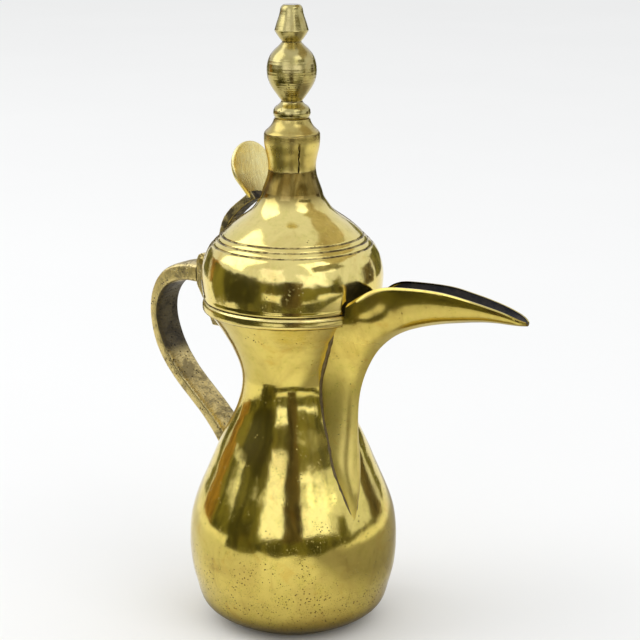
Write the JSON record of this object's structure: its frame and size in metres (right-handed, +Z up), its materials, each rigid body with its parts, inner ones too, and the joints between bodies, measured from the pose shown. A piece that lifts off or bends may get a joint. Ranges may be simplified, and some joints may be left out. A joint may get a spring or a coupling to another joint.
{
  "type": "coffee pot",
  "caption": "Brass dallah coffee pot with a waisted body, long beak spout, strap handle and a hinged domed lid with thumb lever and turned finial.",
  "frame": {"origin": "centre of the flat base, on the surface the pot stands on", "axes": "+Z up, +X towards the spout, -X towards the handle"},
  "size_m": [0.247, 0.115, 0.3395],
  "materials": {
    "sheet_brass": "polished, beaten",
    "cast_brass": "dull, filed casting",
    "turned_brass": "lathe turned",
    "brushed_brass": "brushed",
    "rivet_brass": "peened"
  },
  "bodies": {
    "pot": {"base_disc": "sheet_brass", "body_belly": "sheet_brass", "body_neck": "sheet_brass", "rim_band": "sheet_brass", "spout_left_cheek": "sheet_brass", "spout_right_cheek": "sheet_brass", "handle": "cast_brass", "hinge_bracket": "cast_brass", "bracket_rivets": "rivet_brass", "hinge_pin": "rivet_brass"},
    "lid": {"lid_dome": "sheet_brass", "lid_skirt": "sheet_brass", "lid_ferrule": "sheet_brass", "finial": "turned_brass", "finial_rove": "rivet_brass", "lever_arm": "cast_brass", "thumb_disc": "brushed_brass", "lever_rivets": "rivet_brass"}
  },
  "joints": [
    {"name": "lid_hinge", "type": "hinge", "parent": "pot", "child": "lid", "pos_m": [-0.0566, 0, 0.196], "axis": [0, -1, 0], "range_deg": [0, 105]}
  ]
}
